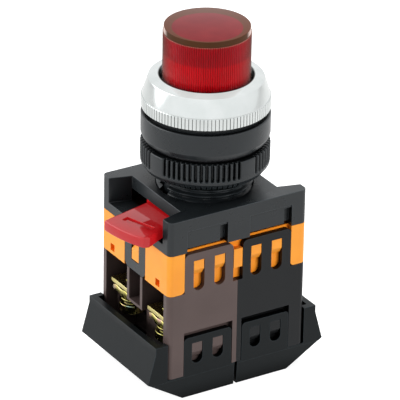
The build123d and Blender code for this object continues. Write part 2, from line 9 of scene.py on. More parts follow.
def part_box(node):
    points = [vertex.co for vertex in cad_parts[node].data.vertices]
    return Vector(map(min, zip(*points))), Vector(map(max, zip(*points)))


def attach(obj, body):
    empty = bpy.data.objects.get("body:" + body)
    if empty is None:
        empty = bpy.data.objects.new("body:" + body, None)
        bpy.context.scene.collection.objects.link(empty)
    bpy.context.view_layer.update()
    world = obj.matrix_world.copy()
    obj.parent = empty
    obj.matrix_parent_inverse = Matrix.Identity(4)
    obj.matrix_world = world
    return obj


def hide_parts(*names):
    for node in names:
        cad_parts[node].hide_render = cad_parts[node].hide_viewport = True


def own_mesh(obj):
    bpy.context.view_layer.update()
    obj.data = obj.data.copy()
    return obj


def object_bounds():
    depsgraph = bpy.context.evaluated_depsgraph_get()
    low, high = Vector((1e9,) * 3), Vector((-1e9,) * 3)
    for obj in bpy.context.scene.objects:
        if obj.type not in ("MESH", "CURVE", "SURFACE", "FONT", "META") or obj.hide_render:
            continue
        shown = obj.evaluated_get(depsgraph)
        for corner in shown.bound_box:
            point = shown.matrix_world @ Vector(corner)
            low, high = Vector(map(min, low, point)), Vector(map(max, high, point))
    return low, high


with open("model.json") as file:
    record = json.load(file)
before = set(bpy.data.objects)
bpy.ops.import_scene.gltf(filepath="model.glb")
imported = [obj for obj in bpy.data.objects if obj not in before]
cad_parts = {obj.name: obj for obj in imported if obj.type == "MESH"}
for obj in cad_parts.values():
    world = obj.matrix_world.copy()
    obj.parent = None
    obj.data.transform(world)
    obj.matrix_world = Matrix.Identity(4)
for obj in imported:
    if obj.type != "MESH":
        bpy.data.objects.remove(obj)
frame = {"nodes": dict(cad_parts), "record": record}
cad_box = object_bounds()

MM = 0.001
TAU = 2 * pi

# ---------------------------------------------------------------- camera and studio

CAMERA_AZIMUTH = -31.887
CAMERA_ELEVATION = 26.289
CAMERA_ROLL = 1.034
CAMERA_DISTANCE = 0.87909
CAMERA_LENS = 347.06
AIM = Vector((-0.00081, 0.0005, -0.016824))
# Softboxes: name, azimuth, elevation, distance, size in metres, power in watts.
SOFTBOXES = (
    ("left", -104, 12, 0.7, 0.4, 4.6),
    ("front", 18, 9, 0.8, 0.4, 4.9),
    ("top", 112, 60, 0.6, 0.35, 4.4),
)
SKY_BRIGHT_SIDE = (-0.6, -0.25, 0.76)
SKY_DULL_LOW, SKY_DULL_HIGH = 0.1, 0.42
SKY_MIRROR_LOW, SKY_MIRROR_HIGH = 0.95, 1.1
SKY_TINT = (0.98, 0.99, 1.0, 1)
EDGE_GLINT = (-0.65, 0.6, 0.47)
EDGE_GLINT_FROM, EDGE_GLINT_TO = 0.86, 0.93
EDGE_GLINT_LEVEL = 2.0
FLOOR_REACH = 3.0
FLOOR_SEEN = 0.85
FLOOR_MIRROR = 0.6


def camera_axes(azimuth, elevation, roll):
    """Right, up and back vectors of a camera that looks at the object from that direction."""
    a, e, r = radians(azimuth), radians(elevation), radians(roll)
    back = Vector((sin(a) * cos(e), -cos(a) * cos(e), sin(e)))
    right = (-back).cross(Vector((0, 0, 1))).normalized()
    up = right.cross(-back)
    return right * cos(r) + up * sin(r), up * cos(r) - right * sin(r), back


def make_camera():
    data = bpy.data.cameras.new("camera")
    data.sensor_width = 36
    data.lens = CAMERA_LENS
    data.clip_start = 0.05
    data.clip_end = 10
    camera = bpy.data.objects.new("camera", data)
    right, up, back = camera_axes(CAMERA_AZIMUTH, CAMERA_ELEVATION, CAMERA_ROLL)
    camera.matrix_world = Matrix.Translation(AIM + back * CAMERA_DISTANCE) @ Matrix(
        (right, up, back)
    ).transposed().to_4x4()
    bpy.context.scene.collection.objects.link(camera)
    bpy.context.scene.camera = camera


def area_light(name, azimuth, elevation, distance, size, power):
    """A square soft box that faces the object from a direction."""
    data = bpy.data.lights.new(name, "AREA")
    data.size = size
    data.energy = power
    lamp = bpy.data.objects.new(name, data)
    lamp.visible_glossy = False
    right, up, back = camera_axes(azimuth, elevation, 0)
    lamp.matrix_world = Matrix.Translation(AIM + back * distance) @ Matrix(
        (right, up, back)
    ).transposed().to_4x4()
    bpy.context.scene.collection.objects.link(lamp)


def make_world():
    """A soft white surround that mirrors see brighter than dull surfaces do.

    It is brightest at the upper left. A panel that only mirrors see puts a glint on edges.
    """
    world = bpy.data.worlds.new("studio")
    world.use_nodes = True
    tree = world.node_tree
    back = tree.nodes["Background"]
    toward = node(tree, "VectorMath", operation="DOT_PRODUCT")
    join(tree, node(tree, "TexCoord").outputs["Generated"], toward.inputs[0])
    toward.inputs[1].default_value = SKY_BRIGHT_SIDE
    glow = ramp(tree, toward.outputs["Value"], -1, 1, SKY_DULL_LOW, SKY_DULL_HIGH)
    mirror_glow = ramp(tree, toward.outputs["Value"], -1, 1, SKY_MIRROR_LOW, SKY_MIRROR_HIGH)
    glint = node(tree, "VectorMath", operation="DOT_PRODUCT")
    join(tree, node(tree, "TexCoord").outputs["Generated"], glint.inputs[0])
    glint.inputs[1].default_value = EDGE_GLINT
    panel = ramp(tree, glint.outputs["Value"], EDGE_GLINT_FROM, EDGE_GLINT_TO, 0, EDGE_GLINT_LEVEL)
    mirror_glow = math_node(tree, "ADD", mirror_glow, panel)
    glossy = node(tree, "LightPath").outputs["Is Glossy Ray"]
    level = math_node(tree, "MULTIPLY", glow, math_node(tree, "SUBTRACT", 1.0, glossy))
    level = math_node(tree, "ADD", level, math_node(tree, "MULTIPLY", mirror_glow, glossy))
    join(tree, level, back.inputs["Strength"])
    back.inputs["Color"].default_value = SKY_TINT
    bpy.context.scene.world = world


def make_floor():
    """A plain white sweep that looks white to the camera but throws back less light."""
    floor_z = cad_box[0].z
    mesh = bpy.data.meshes.new("floor")
    square = ((-1, -1), (1, -1), (1, 1), (-1, 1))
    corners = [(x * FLOOR_REACH, y * FLOOR_REACH, floor_z) for x, y in square]
    mesh.from_pydata(corners, [], [(0, 1, 2, 3)])
    floor = bpy.data.objects.new("floor", mesh)
    bpy.context.scene.collection.objects.link(floor)
    material, tree, shader = new_material("floor")
    seen = node(tree, "LightPath").outputs["Is Camera Ray"]
    base = mix_color(tree, seen, rgba(0.25, 0.25, 0.25), rgba(0.45, 0.45, 0.45))
    join(tree, base, shader.inputs["Base Color"])
    shader.inputs["Roughness"].default_value = 0.9
    shader.inputs["Specular IOR Level"].default_value = 0.1
    shader.inputs["Emission Color"].default_value = (1, 1, 1, 1)
    mirrored = node(tree, "LightPath").outputs["Is Glossy Ray"]
    glow = math_node(tree, "MULTIPLY", seen, FLOOR_SEEN)
    glow = math_node(tree, "ADD", glow, math_node(tree, "MULTIPLY", mirrored, FLOOR_MIRROR))
    join(tree, glow, shader.inputs["Emission Strength"])
    mesh.materials.append(material)


def make_studio():
    scene = bpy.context.scene
    scene.view_settings.view_transform = "Standard"
    scene.view_settings.look = "None"
    make_world()
    make_floor()
    for softbox in SOFTBOXES:
        area_light(*softbox)


# ---------------------------------------------------------------- node helpers


def new_material(name):
    material = bpy.data.materials.new(name)
    material.use_nodes = True
    tree = material.node_tree
    return material, tree, tree.nodes["Principled BSDF"]


def node(tree, kind, **values):
    """A shader node whose named inputs and properties are set from the keywords."""
    made = tree.nodes.new("ShaderNode" + kind)
    for key, value in values.items():
        title = key.replace("_", " ").title()
        if title in made.inputs:
            made.inputs[title].default_value = value
        else:
            setattr(made, key, value)
    return made


def join(tree, source, target):
    tree.links.new(source, target)


def object_coords(tree):
    return node(tree, "TexCoord").outputs["Object"]


def noise(tree, size, detail=3.0, roughness=0.5):
    """Noise whose blobs are about size metres across."""
    made = node(tree, "TexNoise", scale=1 / size, detail=detail, roughness=roughness)
    join(tree, object_coords(tree), made.inputs["Vector"])
    return made.outputs["Fac"]


def ramp(tree, source, low, high, to_low=0.0, to_high=1.0):
    """The source's span low to high mapped to to_low to to_high."""
    made = node(tree, "MapRange")
    join(tree, source, made.inputs["Value"])
    made.inputs["From Min"].default_value = low
    made.inputs["From Max"].default_value = high
    made.inputs["To Min"].default_value = to_low
    made.inputs["To Max"].default_value = to_high
    return made.outputs["Result"]


def mix_color(tree, factor, a, b):
    """A colour mix. a and b are sockets or colours."""
    made = node(tree, "Mix", data_type="RGBA")
    factor_in, a_in, b_in = made.inputs[0], made.inputs[6], made.inputs[7]
    for value, socket in ((factor, factor_in), (a, a_in), (b, b_in)):
        if isinstance(value, bpy.types.NodeSocket):
            join(tree, value, socket)
        else:
            socket.default_value = value
    return made.outputs[2]


def math_node(tree, operation, a, b=0.0):
    made = node(tree, "Math", operation=operation)
    for value, socket in ((a, made.inputs[0]), (b, made.inputs[1])):
        if isinstance(value, bpy.types.NodeSocket):
            join(tree, value, socket)
        else:
            socket.default_value = value
    return made.outputs[0]


def bump(tree, shader, heights):
    """Chains bumps given as (height socket, strength, distance)."""
    normal = None
    for height, strength, distance in heights:
        made = node(tree, "Bump", strength=strength, distance=distance)
        join(tree, height, made.inputs["Height"])
        if normal is not None:
            join(tree, normal, made.inputs["Normal"])
        normal = made.outputs["Normal"]
    join(tree, normal, shader.inputs["Normal"])


def edge_mask(tree, width):
    """1 on sharp outer and inner edges, 0 on flats, from the bevel node."""
    bevel = node(tree, "Bevel", samples=4, radius=width)
    geometry = node(tree, "NewGeometry")
    dot = node(tree, "VectorMath", operation="DOT_PRODUCT")
    join(tree, bevel.outputs["Normal"], dot.inputs[0])
    join(tree, geometry.outputs["Normal"], dot.inputs[1])
    return ramp(tree, dot.outputs["Value"], 1.0, 0.8)


def in_mirror(tree):
    """1 for what is seen by reflection in something else, 0 if seen directly or through glass."""
    path = node(tree, "LightPath")
    not_through = math_node(tree, "SUBTRACT", 1.0, path.outputs["Is Transmission Ray"])
    return math_node(tree, "MULTIPLY", path.outputs["Is Glossy Ray"], not_through)


def painted_gap_shade(tree, reach, dark=0.25):
    """Painted shade: a factor that falls from 1 to dark in gaps and corners about reach metres wide."""
    shade = node(tree, "AmbientOcclusion", samples=6, distance=reach)
    return ramp(tree, shade.outputs["AO"], 0.25, 0.95, dark, 1.0)


def tinted(tree, color, factor):
    """A colour socket multiplied by a factor socket."""
    return mix_color(tree, factor, rgba(0, 0, 0), color)


def rgba(r, g, b):
    return (r, g, b, 1.0)


def scaled(color, factor):
    return tuple(min(1.0, c * factor) for c in color[:3]) + (1.0,)


# ---------------------------------------------------------------- materials

ACRYLIC_INDEX = 1.49
# What lies within these half sizes is inside the adaptor.
INSIDE_X, INSIDE_Y = 16.2 * MM, 13.1 * MM
# Heights and radii where the lens changes, and where its painted shade near the foot lies.
LENS_FOOT, LENS_FOOT_SHADE_ENDS = 14.6 * MM, 16.6 * MM
DIFFUSER_SHOWS_BELOW = 20.4 * MM
LENS_RIB_ENDS = 25.2 * MM
LENS_RIM = 25.45 * MM
LENS_BORDER = 7.9 * MM
BORDER_DEPTH = 0.9 * MM


def moulded_plastic(
    name, color, roughness=0.42, grain=0.12, edge_wear_and_highlight=1.5, sheen=0.3, depth=0.3, shade=(0, 0, 0, 1)
):
    """Injection-moulded plastic: spark-eroded grain of grain mm, faint flow marks and lightened edges.

    Edges are brightened by the edge wear factor, which is partly wear and partly painted highlight.
    Painted shade: gaps and corners keep a share depth of the colour, and the rest is the shade
    colour. The sheen is lower there too, as painted shade on the reflections.
    """
    material, tree, shader = new_material(name)
    clouds = ramp(tree, noise(tree, 9 * MM, 2), 0.3, 0.7)
    base = mix_color(tree, clouds, scaled(color, 0.93), scaled(color, 1.07))
    specks = ramp(tree, noise(tree, 0.16 * MM, 2), 0.62, 0.75)
    base = mix_color(tree, math_node(tree, "MULTIPLY", specks, 0.12), base, scaled(color, 1.8))
    # Lightened edges: partly wear, partly a painted highlight.
    edges = edge_mask(tree, 0.3 * MM)
    base = mix_color(tree, math_node(tree, "MULTIPLY", edges, 0.5), base, scaled(color, edge_wear_and_highlight))
    # Painted shade in gaps and corners.
    base = mix_color(tree, painted_gap_shade(tree, 4 * MM, depth), shade, base)
    join(tree, base, shader.inputs["Base Color"])
    rough = ramp(tree, noise(tree, 4 * MM, 3), 0.3, 0.7, roughness - 0.05, roughness + 0.06)
    join(tree, rough, shader.inputs["Roughness"])
    # Painted shade on the reflections: less sheen in gaps and corners.
    open_sheen = ramp(tree, painted_gap_shade(tree, 6 * MM, 0.0), 0.0, 0.8, 0.25 * sheen, sheen)
    join(tree, open_sheen, shader.inputs["Specular IOR Level"])
    bump(
        tree,
        shader,
        [
            (noise(tree, grain * MM, 2), 0.35, 0.012 * MM),
            (noise(tree, 3.5 * MM, 1), 0.25, 0.03 * MM),
        ],
    )
    return material


def painted_glow_red(material):
    """Adds a painted glow, seen only by the camera, though the lever is no lamp, and darkens the lever
    where mirrors see it, a painted reflection, so it shows less in the dark plastic beside it.
    """
    tree = material.node_tree
    shader = tree.nodes["Principled BSDF"]
    # Painted glow, for camera rays only.
    shader.inputs["Emission Color"].default_value = rgba(1.0, 0.012, 0.018)
    seen = node(tree, "LightPath").outputs["Is Camera Ray"]
    join(tree, math_node(tree, "MULTIPLY", seen, 0.2), shader.inputs["Emission Strength"])
    # Painted reflection: the lever is dark where mirrors see it.
    base = shader.inputs["Base Color"].links[0].from_socket
    dimmed = mix_color(tree, in_mirror(tree), base, rgba(0.08, 0.003, 0.004))
    join(tree, dimmed, shader.inputs["Base Color"])
    return material


def distance_from_axis(tree, x, y):
    squares = math_node(tree, "ADD", math_node(tree, "POWER", x, 2.0), math_node(tree, "POWER", y, 2.0))
    return math_node(tree, "SQRT", squares)


def coordinates(tree, vector):
    """A vector socket split into X, Y and Z."""
    made = node(tree, "SeparateXYZ")
    join(tree, vector, made.inputs[0])
    return made.outputs


def inner_shadow(material):
    """Darkens what lies inside the adaptor, where no light gets in."""
    tree = material.node_tree
    shader = tree.nodes["Principled BSDF"]
    place = coordinates(tree, object_coords(tree))
    across = math_node(tree, "ABSOLUTE", place["X"])
    beside = math_node(tree, "ABSOLUTE", place["Y"])
    between_ends = ramp(tree, across, INSIDE_X + 0.2 * MM, INSIDE_X)
    between_sides = ramp(tree, beside, INSIDE_Y + 0.2 * MM, INSIDE_Y)
    inside = math_node(tree, "MULTIPLY", between_ends, between_sides)
    base = shader.inputs["Base Color"].links[0].from_socket
    dark = mix_color(tree, inside, base, rgba(0.02, 0.006, 0.001))
    join(tree, dark, shader.inputs["Base Color"])
    return material


def chrome_material():
    """Bright plating with faint haze, with painted shade in narrow gaps and on the wall of the hole."""
    material, tree, shader = new_material("chrome_plate")
    shader.inputs["Metallic"].default_value = 1.0
    haze = ramp(tree, noise(tree, 5 * MM, 3), 0.3, 0.7)
    base = mix_color(tree, haze, rgba(0.72, 0.755, 0.74), rgba(0.80, 0.825, 0.815))
    # Painted shade in narrow gaps.
    base = tinted(tree, base, painted_gap_shade(tree, 0.4 * MM, 0.3))
    place = coordinates(tree, object_coords(tree))
    radius = distance_from_axis(tree, place["X"], place["Y"])
    # Painted shade on the wall of the hole.
    base = tinted(tree, base, ramp(tree, radius, 10.8 * MM, 11.05 * MM, 0.08, 1.0))
    join(tree, base, shader.inputs["Base Color"])
    join(tree, ramp(tree, haze, 0, 1, 0.1, 0.16), shader.inputs["Roughness"])
    bump(tree, shader, [(noise(tree, 1.2 * MM, 2), 0.08, 0.01 * MM)])
    return material


def below_surface(tree, place, depth):
    """X and Y of what is seen at a depth below a clear flat top, through the top."""
    view = coordinates(tree, node(tree, "NewGeometry").outputs["Incoming"])
    reach = math_node(tree, "DIVIDE", depth / ACRYLIC_INDEX, math_node(tree, "MAXIMUM", view["Z"], 0.1))
    x = math_node(tree, "SUBTRACT", place["X"], math_node(tree, "MULTIPLY", view["X"], reach))
    y = math_node(tree, "SUBTRACT", place["Y"], math_node(tree, "MULTIPLY", view["Y"], reach))
    return x, y


def towards_viewer(tree, place, radius):
    """How far a point of an upright round wall faces the viewer, from 1 down to 0 at its sides."""
    view = coordinates(tree, node(tree, "NewGeometry").outputs["Incoming"])
    along_x = math_node(tree, "MULTIPLY", place["X"], view["X"])
    along_y = math_node(tree, "MULTIPLY", place["Y"], view["Y"])
    return math_node(tree, "DIVIDE", math_node(tree, "ADD", along_x, along_y), radius)


def lens_material():
    """Red tinted acrylic, coloured by zone: ribbed wall, smooth rim and glossy flat top.

    The wall is paler below the diffuser's top, which shows through it, and browner at its
    sides, where more acrylic is looked through. Painted shade darkens it between the ribs and
    near its foot, and painted highlights light the top ends of the ribs and the rim where it
    turns away. The top has a browner border, a little below its surface. In mirrors the lens
    is a painted reflection, a washed-out pale glow, as polished plating shows it in a bright tent.
    """
    material, tree, shader = new_material("red_lens")
    place = coordinates(tree, object_coords(tree))
    radius = distance_from_axis(tree, place["X"], place["Y"])
    height = place["Z"]
    normal = coordinates(tree, node(tree, "NewGeometry").outputs["Normal"])
    up = ramp(tree, normal["Z"], 0.6, 0.9)
    clouds = ramp(tree, noise(tree, 5 * MM, 3), 0.35, 0.65)

    low = mix_color(tree, clouds, rgba(0.66, 0.001, 0.006), rgba(0.78, 0.002, 0.009))
    high = mix_color(tree, clouds, rgba(0.44, 0.001, 0.007), rgba(0.54, 0.002, 0.009))
    above = ramp(tree, height, DIFFUSER_SHOWS_BELOW, DIFFUSER_SHOWS_BELOW + 0.5 * MM)
    wall = mix_color(tree, above, low, high)
    # Painted shade between the ribs, with slightly lighter crests.
    wall = tinted(tree, wall, ramp(tree, radius, 9.9 * MM, 10.0 * MM, 0.55, 1.08))
    edge_on = ramp(tree, towards_viewer(tree, place, radius), 0.66, 0.15, 0.0, 0.95)
    wall = mix_color(tree, edge_on, wall, rgba(0.10, 0.022, 0.014))
    # Painted shade near the foot, by the bezel, fading out upwards.
    wall = tinted(tree, wall, ramp(tree, height, LENS_FOOT, LENS_FOOT_SHADE_ENDS, 0.5, 1.0))
    # Painted highlights at the top ends of the ribs.
    near_top = ramp(tree, height, LENS_RIB_ENDS, LENS_RIB_ENDS + 0.1 * MM)
    on_rib = ramp(tree, radius, 9.93 * MM, 9.98 * MM)
    rib_ends = math_node(tree, "MULTIPLY", near_top, on_rib)
    wall = mix_color(tree, math_node(tree, "MULTIPLY", rib_ends, 0.55), wall, rgba(0.6, 0.25, 0.18))

    rim = ramp(tree, height, LENS_RIM, LENS_RIM + 0.05 * MM)
    # The rim's brown, with a painted pale highlight where it turns away from the viewer.
    turned_away = ramp(tree, node(tree, "LayerWeight", blend=0.5).outputs["Facing"], 0.56, 0.72)
    rim_tone = mix_color(tree, turned_away, rgba(0.070, 0.028, 0.011), rgba(0.62, 0.45, 0.40))
    wall = mix_color(tree, rim, wall, rim_tone)

    sunk = distance_from_axis(tree, *below_surface(tree, place, BORDER_DEPTH))
    border = ramp(tree, sunk, LENS_BORDER, LENS_BORDER + 0.2 * MM)
    middle = mix_color(tree, clouds, rgba(0.150, 0.010, 0.013), rgba(0.18, 0.013, 0.016))
    top = mix_color(tree, border, middle, rgba(0.105, 0.036, 0.020))

    # Painted reflection: seen in mirrors, the lens is a pale glow instead of red.
    mirrored = in_mirror(tree)
    base = mix_color(tree, up, wall, top)
    base = mix_color(tree, mirrored, base, rgba(0, 0, 0))
    # Painted shade in narrow gaps.
    base = tinted(tree, base, painted_gap_shade(tree, 0.35 * MM, 0.45))
    join(tree, base, shader.inputs["Base Color"])
    shader.inputs["Emission Color"].default_value = rgba(1.0, 0.97, 0.97)
    join(tree, math_node(tree, "MULTIPLY", mirrored, 0.86), shader.inputs["Emission Strength"])

    smooth = math_node(tree, "MAXIMUM", up, rim)
    ribbed = math_node(tree, "SUBTRACT", 1.0, smooth)
    join(tree, math_node(tree, "MULTIPLY", ribbed, 0.35), shader.inputs["Transmission Weight"])
    shader.inputs["IOR"].default_value = 1.35
    shine = math_node(tree, "SUBTRACT", 0.24, math_node(tree, "MULTIPLY", border, 0.07))
    shine = math_node(tree, "MAXIMUM", math_node(tree, "MULTIPLY", smooth, shine), 0.02)
    join(tree, shine, shader.inputs["Specular IOR Level"])
    join(tree, ramp(tree, clouds, 0, 1, 0.1, 0.16), shader.inputs["Roughness"])
    bump(tree, shader, [(noise(tree, 1.5 * MM, 2), 0.1, 0.01 * MM)])
    return material


def less_when_unseen(tree, color):
    """A metal's colour, dark for light that bounces on, so that it doesn't tint the plastic."""
    seen = node(tree, "LightPath").outputs["Is Camera Ray"]
    return tinted(tree, color, ramp(tree, seen, 0, 1, 0.25, 1.0))


def metal(name, color_a, color_b, roughness, scale_mm=1.5):
    """Bare metal with blotches, with painted shade in gaps."""
    material, tree, shader = new_material(name)
    shader.inputs["Metallic"].default_value = 1.0
    blotch = ramp(tree, noise(tree, scale_mm * MM, 4), 0.35, 0.65)
    base = mix_color(tree, blotch, color_a, color_b)
    # Painted shade in gaps.
    base = tinted(tree, base, painted_gap_shade(tree, 2.5 * MM, 0.15))
    base = less_when_unseen(tree, base)
    join(tree, base, shader.inputs["Base Color"])
    rough = ramp(tree, noise(tree, 0.5 * MM, 3), 0.3, 0.7, roughness - 0.06, roughness + 0.1)
    join(tree, rough, shader.inputs["Roughness"])
    bump(tree, shader, [(noise(tree, 0.3 * MM, 3), 0.1, 0.005 * MM)])
    return material


def passivated_zinc():
    """Yellow chromate over zinc, with the green and pink interference tints it shows."""
    material, tree, shader = new_material("yellow_zinc_steel")
    shader.inputs["Metallic"].default_value = 1.0
    film = ramp(tree, noise(tree, 1.3 * MM, 3), 0.3, 0.7)
    tint = mix_color(tree, film, rgba(0.58, 0.52, 0.13), rgba(0.70, 0.62, 0.22))
    pink = ramp(tree, noise(tree, 2.6 * MM, 1, 0.4), 0.52, 0.66)
    tint = mix_color(tree, pink, tint, rgba(0.80, 0.52, 0.38))
    green = ramp(tree, noise(tree, 2.9 * MM, 1, 0.3), 0.60, 0.72)
    tint = mix_color(tree, green, tint, rgba(0.55, 0.80, 0.68))
    # Painted shade in gaps.
    tint = tinted(tree, tint, painted_gap_shade(tree, 0.9 * MM, 0.4))
    tint = less_when_unseen(tree, tint)
    join(tree, tint, shader.inputs["Base Color"])
    join(tree, ramp(tree, film, 0, 1, 0.2, 0.32), shader.inputs["Roughness"])
    bump(tree, shader, [(noise(tree, 0.25 * MM, 3), 0.1, 0.005 * MM)])
    return material


def rubber_material():
    """Matt black rubber with a fine bloom."""
    material, tree, shader = new_material("rubber")
    clouds = noise(tree, 0.8 * MM, 3)
    base = mix_color(tree, clouds, rgba(0.012, 0.012, 0.013), rgba(0.03, 0.03, 0.032))
    join(tree, base, shader.inputs["Base Color"])
    join(tree, ramp(tree, clouds, 0.3, 0.7, 0.6, 0.85), shader.inputs["Roughness"])
    bump(tree, shader, [(noise(tree, 0.15 * MM, 2), 0.3, 0.02 * MM)])
    return material


def glass_material():
    """Clear glass with a slight haze."""
    material, tree, shader = new_material("bulb_glass")
    shader.inputs["Transmission Weight"].default_value = 1.0
    shader.inputs["IOR"].default_value = 1.5
    haze = noise(tree, 2 * MM, 2)
    join(tree, ramp(tree, haze, 0.3, 0.7, 0.02, 0.12), shader.inputs["Roughness"])
    base = mix_color(tree, haze, rgba(0.95, 0.95, 0.92), rgba(1, 1, 0.98))
    join(tree, base, shader.inputs["Base Color"])
    return material


def make_materials():
    """The materials, by the record's slot names, with a darker black as painted shade on the rear
    covers.
    """
    orange = moulded_plastic(
        "orange_plastic",
        rgba(1.0, 0.35, 0.03),
        roughness=0.34,
        edge_wear_and_highlight=1.0,
        sheen=0.5,
        depth=0.5,
        shade=rgba(0.95, 0.20, 0.006),
    )
    glossy_red = moulded_plastic(
        "red_lever_plastic",
        rgba(0.31, 0.009, 0.012),
        roughness=0.04,
        grain=1.5,
        edge_wear_and_highlight=1.0,
        sheen=0.5,
        depth=0.3,
        shade=rgba(0.46, 0.006, 0.007),
    )
    return {
        # Black plastics: strong edge factors, partly wear and partly painted highlight along the edges.
        "black_plastic": moulded_plastic(
            "black_plastic", rgba(0.013, 0.016, 0.018), 0.3, edge_wear_and_highlight=8, sheen=0.47, depth=0.1
        ),
        # Painted shade: the rear covers' black is the black plastic made darker and less glossy.
        "shaded_cover_plastic": moulded_plastic(
            "shaded_cover_plastic", rgba(0.005, 0.007, 0.008), 0.34, edge_wear_and_highlight=10, sheen=0.2, depth=0.1
        ),
        "dark_block_plastic": moulded_plastic(
            "dark_block_plastic", rgba(0.010, 0.011, 0.012), 0.34, edge_wear_and_highlight=6, sheen=0.24, depth=0.1
        ),
        "brown_plastic": moulded_plastic(
            "brown_plastic", rgba(0.102, 0.073, 0.068), 0.36, edge_wear_and_highlight=1.3, depth=0.5
        ),
        "orange_plastic": inner_shadow(orange),
        "red_lever_plastic": painted_glow_red(glossy_red),
        "white_plastic": moulded_plastic("white_plastic", rgba(0.82, 0.81, 0.77), 0.4, edge_wear_and_highlight=1.05),
        "chrome_plate": chrome_material(),
        "red_lens": lens_material(),
        "rubber": rubber_material(),
        "spring_steel": metal("spring_steel", rgba(0.5, 0.5, 0.52), rgba(0.64, 0.64, 0.66), 0.25),
        "black_steel": metal("black_steel", rgba(0.03, 0.03, 0.034), rgba(0.055, 0.055, 0.06), 0.45),
        "brass_strip": metal("brass_strip", rgba(0.66, 0.56, 0.20), rgba(0.76, 0.67, 0.30), 0.24, 3),
        "yellow_zinc_steel": passivated_zinc(),
        "bulb_glass": glass_material(),
    }


# ---------------------------------------------------------------- mesh helpers


def piece(name, verts, faces, slot, body, replaced=(), smooth=32):
    """A finished piece of the object: mesh, material, body, and the CAD node it stands for."""
    mesh = bpy.data.meshes.new(name)
    mesh.from_pydata(verts, [], faces)
    bm = bmesh.new()
    bm.from_mesh(mesh)
    bmesh.ops.recalc_face_normals(bm, faces=bm.faces)
    bm.to_mesh(mesh)
    bm.free()
    mesh.polygons.foreach_set("use_smooth", [True] * len(mesh.polygons))
    mesh.set_sharp_from_angle(angle=radians(smooth))
    mesh.materials.append(materials[slot])
    made = bpy.data.objects.new(name, mesh)
    bpy.context.scene.collection.objects.link(made)
    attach(made, body)
    if replaced:
        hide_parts(*replaced)
    return made


def rounded(points, steps=4):
    """A closed outline whose corners (x, y, r) are rounded to radius r. A plain (x, y) stays sharp."""
    out = []
    count = len(points)
    for i, point in enumerate(points):
        r = point[2] if len(point) > 2 else 0
        here = Vector(point[:2])
        if not r:
            out.append(tuple(here))
            continue
        before = Vector(points[i - 1][:2]) - here
        after = Vector(points[(i + 1) % count][:2]) - here
        half = before.angle(after) / 2
        cut = min(r / tan(half), 0.45 * before.length, 0.45 * after.length)
        radius = cut * tan(half)
        start = here + before.normalized() * cut
        end = here + after.normalized() * cut
        middle = here + (before.normalized() + after.normalized()).normalized() * (radius / sin(half))
        a0 = atan2(start.y - middle.y, start.x - middle.x)
        a1 = atan2(end.y - middle.y, end.x - middle.x)
        sweep = (a1 - a0 + pi) % TAU - pi
        for k in range(steps + 1):
            a = a0 + sweep * k / steps
            out.append((middle.x + radius * cos(a), middle.y + radius * sin(a)))
    return out


def round_angles(count, shares=(0,)):
    """The angles of a full turn, at the given shares of each of count equal steps."""
    return [TAU * (k + share) / count for k in range(count) for share in shares]


def lathe(profile, angles, shape=None, centre=(0, 0)):
    """Vertices and faces of a closed (radius, z) outline turned about Z.

    shape(angle, radius, z) may return another radius, for ribs and threads.
    Points on the axis become poles, so an outline may start and end there.
    """
    segments = len(angles)
    verts, rows = [], []
    for r, z in profile:
        if r < 1e-9:
            rows.append([len(verts)])
            verts.append((centre[0], centre[1], z))
            continue
        row = []
        for a in angles:
            radius = shape(a, r, z) if shape else r
            row.append(len(verts))
            verts.append((centre[0] + radius * cos(a), centre[1] + radius * sin(a), z))
        rows.append(row)
    faces = []
    for low, high in zip(rows, rows[1:] + rows[:1]):
        if len(low) == 1 and len(high) == 1:
            continue
        for k in range(segments):
            j = (k + 1) % segments
            if len(low) == 1:
                faces.append((low[0], high[k], high[j]))
            elif len(high) == 1:
                faces.append((low[k], high[0], low[j]))
            else:
                faces.append((low[k], high[k], high[j], low[j]))
    return verts, faces


# Where the points of a rib's outline lie, as shares of its pitch.
RIB_SHARES = (0, 0.1, 0.2, 0.28, 0.4, 0.5, 0.6, 0.72, 0.8, 0.9)
KNURL_SHARES = (0, 0.03, 0.09, 0.5, 0.91, 0.97)


def bump_tooth(angle, count, width):
    """0 in the gap, rising to 1 over a round-topped rib that takes a share width of the pitch."""
    t = abs((angle * count / TAU) % 1.0 - 0.5) * 2 / width
    return sqrt(1 - t * t) if t < 1 else 0.0


def tooth(angle, count, flat=0.5, soft=0.2):
    """0 in the gap and 1 on the tooth, with flanks that take a share soft of the pitch."""
    t = abs((angle * count / TAU) % 1.0 - 0.5) * 2
    edge = 1 - flat
    return max(0.0, min(1.0, (1 - t - edge + soft / 2) / soft))


def coil(r, wire, z0, z1, turns, centre=(0, 0), around=8, per_turn=28):
    """A compression spring between z0 and z1: one closed turn at each end and open turns between."""
    total = turns + 2
    steps = int(total * per_turn)
    closed_rise = 2.02 * wire
    low = z0 + wire + closed_rise
    high = z1 - wire - closed_rise
    verts, faces = [], []
    for i in range(steps + 1):
        t = total * i / steps
        open_share = min(max(t - 1, 0), turns) / turns
        into_first = min(t - 1, 0)
        into_last = max(t - total + 1, 0)
        z = low + (high - low) * open_share + closed_rise * (into_first + into_last)
        a = TAU * t
        for k in range(around):
            b = TAU * k / around
            radius = r + wire * cos(b)
            verts.append((centre[0] + radius * cos(a), centre[1] + radius * sin(a), z + wire * sin(b)))
    for i in range(steps):
        for k in range(around):
            j = (k + 1) % around
            faces.append((i * around + k, i * around + j, (i + 1) * around + j, (i + 1) * around + k))
    faces.append(tuple(range(around)))
    faces.append(tuple(steps * around + k for k in reversed(range(around))))
    return verts, faces


